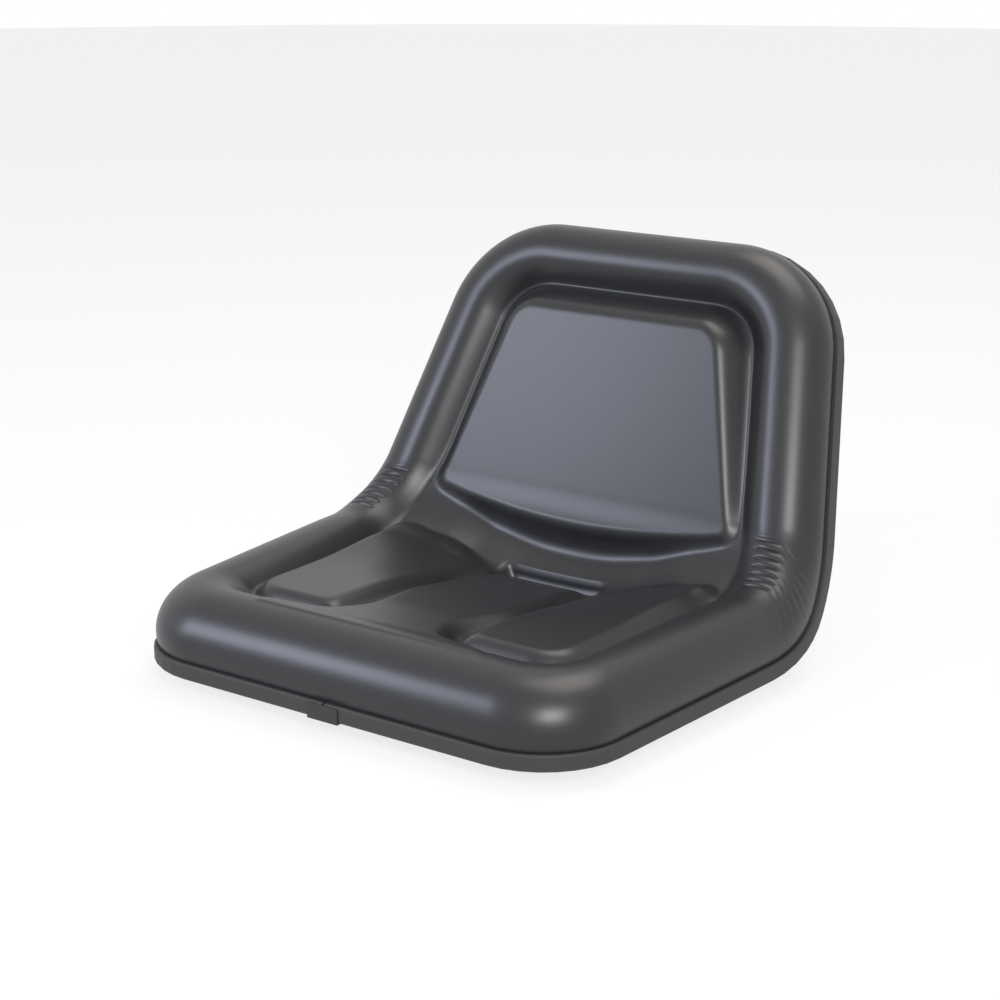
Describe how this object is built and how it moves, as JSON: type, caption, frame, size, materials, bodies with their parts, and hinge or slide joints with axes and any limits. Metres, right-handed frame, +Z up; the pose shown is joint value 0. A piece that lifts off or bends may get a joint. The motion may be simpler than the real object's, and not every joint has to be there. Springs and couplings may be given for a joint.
{
  "type": "bucket seat",
  "caption": "Low-back tractor bucket seat: black vinyl cushion with a rolled rim over foam, on a pressed steel pan with an edge trim.",
  "frame": {"origin": "middle of the four mounting holes, on the lower face of the pan's mounting platform", "axes": "+Z up, away from the mounting face; +Y to the rear of the seat; +X to the sitter's left as seen from the front"},
  "size_m": [0.489, 0.5022, 0.3305],
  "materials": {
    "black_vinyl": "satin vinyl with a fine grain",
    "foam": "open-cell moulded foam",
    "painted_steel": "black paint, semi-gloss",
    "plated_steel": "zinc plated",
    "trim_rubber": "ribbed, matt",
    "clip_plastic": "smooth satin"
  },
  "bodies": {
    "root": {"vinyl_cover": "black_vinyl", "foam_cushion": "foam", "steel_pan": "painted_steel", "nut_front_right": "plated_steel", "nut_front_left": "plated_steel", "nut_rear_right": "plated_steel", "nut_rear_left": "plated_steel", "edge_trim": "trim_rubber", "splice_clip": "clip_plastic"}
  },
  "joints": []
}
